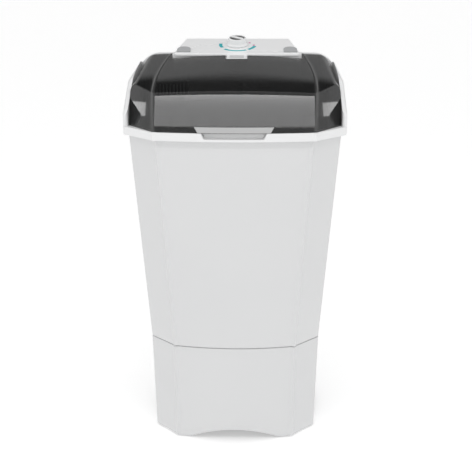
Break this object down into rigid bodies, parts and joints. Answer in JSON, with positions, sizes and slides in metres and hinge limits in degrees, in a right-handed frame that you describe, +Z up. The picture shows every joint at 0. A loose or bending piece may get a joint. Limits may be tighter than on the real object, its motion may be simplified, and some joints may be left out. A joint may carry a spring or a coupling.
{
  "type": "semi-automatic washing machine",
  "caption": "Free-standing single-tub washing machine with a tapered white body, hinged smoked lid, slanted timer panel and belt-driven impeller.",
  "frame": {"origin": "on the floor, below the middle of the machine's overall box", "axes": "+Z up, -Y towards the front where the lid's handle is, +X to the right seen from the front with the viewer facing +Y"},
  "size_m": [0.54, 0.558, 1.0093],
  "materials": {
    "body_white": "satin moulded white",
    "rim_white": "glossy moulded white",
    "panel_white": "glossy moulded white",
    "lid_smoke": "clear smoked gloss",
    "trim_grey": "fine matt grey",
    "knob_white": "glossy moulded white",
    "knob_dark": "matt dark grey",
    "foot_rubber": "matt black",
    "steel": "plain zinc finish",
    "plate_metal": "dark painted sheet",
    "motor_metal": "grey painted casing",
    "timer_plastic": "matt black",
    "impeller_plastic": "satin pale grey",
    "bearing_plastic": "matt grey",
    "bush_brass": "plain turned",
    "pulley_alloy": "plain cast",
    "filter_plastic": "satin dark grey",
    "mesh_fabric": "fine woven mesh"
  },
  "bodies": {
    "cabinet": {"wash_tub": "body_white", "base_skirt": "body_white", "top_housing": "rim_white", "filter_guide": "rim_white", "control_panel": "panel_white", "hinge_cover_left": "trim_grey", "hinge_cover_right": "trim_grey", "foot_pad_front_left": "foot_rubber", "foot_pad_front_right": "foot_rubber", "foot_pad_back_left": "foot_rubber", "foot_pad_back_right": "foot_rubber", "shaft_seal": "foot_rubber", "drive_belt": "foot_rubber", "cable_gland": "foot_rubber", "hinge_pin_left": "steel", "hinge_pin_right": "steel", "timer_screws": "steel", "bearing_screws": "steel", "plate_bolts": "steel", "motor_bolts": "steel", "plate_post_front_left": "steel", "plate_post_front_right": "steel", "plate_post_back_left": "steel", "plate_post_back_right": "steel", "capacitor_strap": "steel", "motor_plate": "plate_metal", "motor_body": "motor_metal", "timer_body": "timer_plastic", "capacitor": "timer_plastic", "bearing_housing": "bearing_plastic", "drain_elbow": "bearing_plastic", "drain_strainer": "bearing_plastic", "bush_upper": "bush_brass", "bush_lower": "bush_brass"},
    "lid": {"lid_shell": "lid_smoke", "lid_handle": "panel_white"},
    "knob": {"timer_knob": "knob_white", "knob_insert": "knob_dark", "knob_grip": "knob_white", "timer_shaft": "steel"},
    "impeller": {"impeller": "impeller_plastic", "impeller_cap": "impeller_plastic", "impeller_screw": "steel", "drive_shaft": "steel", "drive_pulley": "pulley_alloy", "pulley_nut": "steel"},
    "motor_rotor": {"motor_shaft": "steel", "motor_pulley": "pulley_alloy"},
    "filter": {"lint_filter": "filter_plastic", "filter_mesh": "mesh_fabric"}
  },
  "joints": [
    {"name": "lid_hinge", "type": "hinge", "parent": "cabinet", "child": "lid", "pos_m": [0, 0.125, 0.95], "axis": [-1, 0, 0], "range_deg": [0, 98]},
    {"name": "knob_turn", "type": "hinge", "parent": "cabinet", "child": "knob", "pos_m": [0, 0.1768, 0.9839], "axis": [0, 0.2419, -0.9703], "range_deg": [0, 300]},
    {"name": "impeller_spin", "type": "hinge", "parent": "cabinet", "child": "impeller", "pos_m": [0, 0.009, 0.3], "axis": [0, 0, 1], "continuous": true},
    {"name": "motor_spin", "type": "hinge", "parent": "cabinet", "child": "motor_rotor", "pos_m": [0, 0.141, 0.148], "axis": [0, 0, 1], "continuous": true},
    {"name": "filter_lift", "type": "slide", "parent": "cabinet", "child": "filter", "axis": [0, 0, 1], "range_m": [0, 0.045]}
  ],
  "couplings": [
    {"joint": "motor_spin", "follows": "impeller_spin", "ratio": 4}
  ]
}
